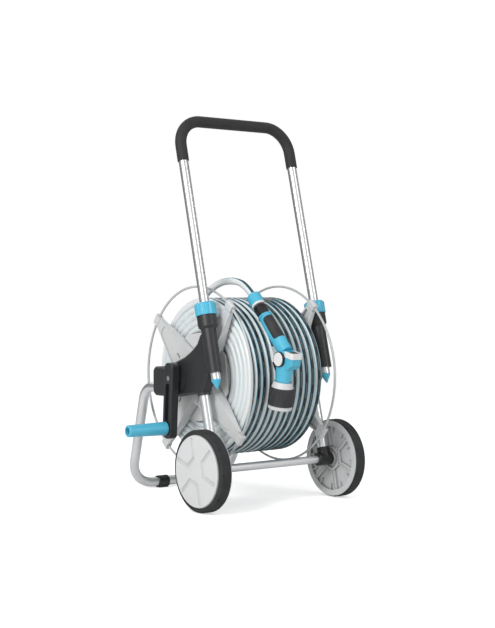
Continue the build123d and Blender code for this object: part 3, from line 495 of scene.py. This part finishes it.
# Plastics: colour, roughness, depth and scale of the texture, colour variation, then what else there is.
DUST = {"dust": (0.25, 0.25, 0.25)}
PLASTICS = {
    "coated_wire": ((0.52, 0.53, 0.53), 0.36, 0.00001, 500.0, 0.03, {"coat": 0.3}),
    "dark_grey_plastic": ((0.022, 0.023, 0.025), 0.40, 0.00010, 1500.0, 0.10, DUST),
    "black_plastic": ((0.010, 0.010, 0.011), 0.32, 0.00005, 1600.0, 0.12, {"coat": 0.1}),
    "blue_plastic": ((0.080, 0.47, 0.66), 0.34, 0.00004, 1500.0, 0.05, {"coat": 0.15}),
    # the light grey plastic and the wheel covers get painted shade, darker in grooves and corners
    "light_grey_plastic": ((0.64, 0.65, 0.65), 0.44, 0.00008, 1400.0, 0.025, {"groove_shade": 0.55}),
    "cover_plastic": ((0.68, 0.69, 0.69), 0.44, 0.00008, 1400.0, 0.02, {"groove_shade": 0.60, "reach": 0.016}),
    "white_plastic": ((0.80, 0.80, 0.80), 0.30, 0.00004, 1400.0, 0.02, {"coat": 0.2}),
}
# Rubbers: colour, roughness, depth and scale of the texture.
RUBBERS = {
    "tyre_rubber": ((0.024, 0.025, 0.026), 0.70, 0.00025, 700.0),
    "seal_rubber": ((0.02, 0.02, 0.02), 0.5, 0.00005, 900.0),
    "soft_insert": ((0.028, 0.028, 0.030), 0.58, 0.00015, 1200.0),
}
MATERIALS = {
    "trigger_plastic": trigger_material(),
    "foam_grip": foam("foam_grip", (0.016, 0.016, 0.017)),
    "hose": hose_material(),
}
MATERIALS.update({name: brushed(name, *look) for name, look in TUBES.items()})
MATERIALS.update({name: moulded(name, *look[:-1], **look[-1]) for name, look in PLASTICS.items()})
MATERIALS.update({name: rubber(name, *look) for name, look in RUBBERS.items()})

# CAD pieces whose looks differ from the rest of their slot.
OTHER_LOOKS = {
    "foot_tube": "satin_aluminium", "axle_tube": "satin_aluminium",
    "left_wheel_cover": "cover_plastic", "right_wheel_cover": "cover_plastic",
    "gun_trigger": "trigger_plastic",
}


def dress(piece, slot):
    piece.data.materials.clear()
    piece.data.materials.append(MATERIALS[slot])


for part in frame["record"]["subparts"]:
    dress(NODES[part["node"]], OTHER_LOOKS.get(part["node"], part["material_slot"]))
dress(wound_hose, "hose")
dress(free_hose, "hose")


# ---------------------------------------------------------------- floor and light
FLOOR_R = 3.6
FLOOR_SOLID, FLOOR_GONE = 0.9, 3.4  # distances from its middle between which it fades out
FLOOR_BELOW = 0.0005  # gap under the wheels, so that no faces coincide
FLOOR_GLOW = 0.50
BOUNCE = (0.82, 0.82, 0.82, 1)  # the grey that the floor throws back onto the cart
LIGHTS_AIM = (0.05, 0.0, 0.45)
ROOM_LIGHT = 0.60
SKY_FROM, SKY_TO = 0.45, 0.95  # a direction's upward share, where the walls turn into the white ceiling
# The room's light: compass direction in degrees from +Y towards +X, and how bright it is there.
ROOM = [(-180, 0.80), (-150, 1.15), (-115, 1.25), (-80, 0.95), (-40, 0.30), (0, 0.22), (45, 0.25),
        (80, 0.35), (110, 0.70), (135, 0.60), (180, 0.80)]


def floor_material():
    """White to the camera, and a plain soft grey in the light it throws back onto the cart."""
    n = Nodes("floor")
    white = n.mix(n.noise(3.0, 2.0), (0.93, 0.93, 0.93), (0.95, 0.95, 0.95))
    far = n.new("ShaderNodeVectorMath", operation="LENGTH")
    n.link(n.places(), far.inputs[0])
    n.set(Base_Color=white, Roughness=0.9, Specular_IOR_Level=0.1, Emission_Color=(1, 1, 1),
          Emission_Strength=FLOOR_GLOW, Alpha=n.ramp(far.outputs["Value"], FLOOR_GONE, FLOOR_SOLID))
    grey = n.new("ShaderNodeBsdfDiffuse")
    grey.inputs["Color"].default_value = BOUNCE
    seen = n.new("ShaderNodeLightPath")
    mixed = n.new("ShaderNodeMixShader")
    n.link(seen.outputs["Is Camera Ray"], mixed.inputs[0])
    n.link(grey.outputs[0], mixed.inputs[1])
    n.link(n.surface.outputs[0], mixed.inputs[2])
    n.link(mixed.outputs[0], n.tree.nodes["Material Output"].inputs["Surface"])
    return n.material


def make_floor():
    """A floor that fades out into the white room round it."""
    mesh = bpy.data.meshes.new("floor")
    built = bmesh.new()
    bmesh.ops.create_circle(built, cap_ends=True, radius=FLOOR_R, segments=96)
    built.to_mesh(mesh)
    built.free()
    mesh.materials.append(floor_material())
    floor = bpy.data.objects.new("floor", mesh)
    floor.location.z = cad_low.z - FLOOR_BELOW
    SCENE.collection.objects.link(floor)


def area_light(name, at, size, power):
    data = bpy.data.lights.new(name, "AREA")
    data.shape = "RECTANGLE"
    data.size, data.size_y = size
    data.energy = power
    light = bpy.data.objects.new(name, data)
    light.location = at
    light.rotation_mode = "QUATERNION"
    light.rotation_quaternion = (Vector(LIGHTS_AIM) - Vector(at)).to_track_quat("-Z", "Y")
    SCENE.collection.objects.link(light)


def rise(tree, value, low, high):
    """0 at low and 1 at high, straight in between."""
    node = tree.nodes.new("ShaderNodeMapRange")
    node.inputs["From Min"].default_value = low
    node.inputs["From Max"].default_value = high
    tree.links.new(value, node.inputs["Value"])
    return node.outputs[0]


def room_ramp(tree, share):
    """The room's brightness round the compass, from a share of a full turn."""
    node = tree.nodes.new("ShaderNodeValToRGB")
    node.color_ramp.interpolation = "EASE"
    stops = node.color_ramp.elements
    for degrees_round, level in ROOM[1:-1]:
        stops.new((degrees_round + 180) / 360).color = (level, level, level, 1)
    for place, (_, level) in ((0, ROOM[0]), (len(stops) - 1, ROOM[-1])):
        stops[place].color = (level, level, level, 1)
    tree.links.new(share, node.inputs[0])
    return node.outputs[0]


def make_world():
    """A white room. What lights the cart is darker behind it, which gives the bright metal its
    dark edges, and the camera sees plain white."""
    world = bpy.data.worlds.new("room")
    SCENE.world = world
    world.use_nodes = True
    tree = world.node_tree
    tree.nodes.clear()
    new, link = tree.nodes.new, tree.links.new
    places, split = new("ShaderNodeTexCoord"), new("ShaderNodeSeparateXYZ")
    link(places.outputs["Generated"], split.inputs[0])
    compass = new("ShaderNodeMath")
    compass.operation = "ARCTAN2"
    link(split.outputs["X"], compass.inputs[0])
    link(split.outputs["Y"], compass.inputs[1])
    blend = new("ShaderNodeMix")
    blend.data_type = "RGBA"
    link(rise(tree, split.outputs["Z"], SKY_FROM, SKY_TO), blend.inputs[0])
    link(room_ramp(tree, rise(tree, compass.outputs[0], -pi, pi)), blend.inputs[6])
    blend.inputs[7].default_value = (1, 1, 1, 1)
    seen, lit = new("ShaderNodeBackground"), new("ShaderNodeBackground")
    seen.inputs["Color"].default_value = (1, 1, 1, 1)
    lit.inputs["Strength"].default_value = ROOM_LIGHT
    link(blend.outputs[2], lit.inputs["Color"])
    path, mix, out = new("ShaderNodeLightPath"), new("ShaderNodeMixShader"), new("ShaderNodeOutputWorld")
    link(path.outputs["Is Camera Ray"], mix.inputs[0])
    link(lit.outputs[0], mix.inputs[1])
    link(seen.outputs[0], mix.inputs[2])
    link(mix.outputs[0], out.inputs[0])


make_floor()
make_world()
# name, place, width and height, watts
area_light("key", (-3.0, -1.2, 2.2), (1.1, 1.3), 72)
area_light("fill", (1.4, -3.6, 1.9), (0.9, 2.4), 26)
area_light("back", (0.6, 2.8, 2.8), (2.0, 1.2), 22)
SCENE.view_settings.view_transform = "Standard"
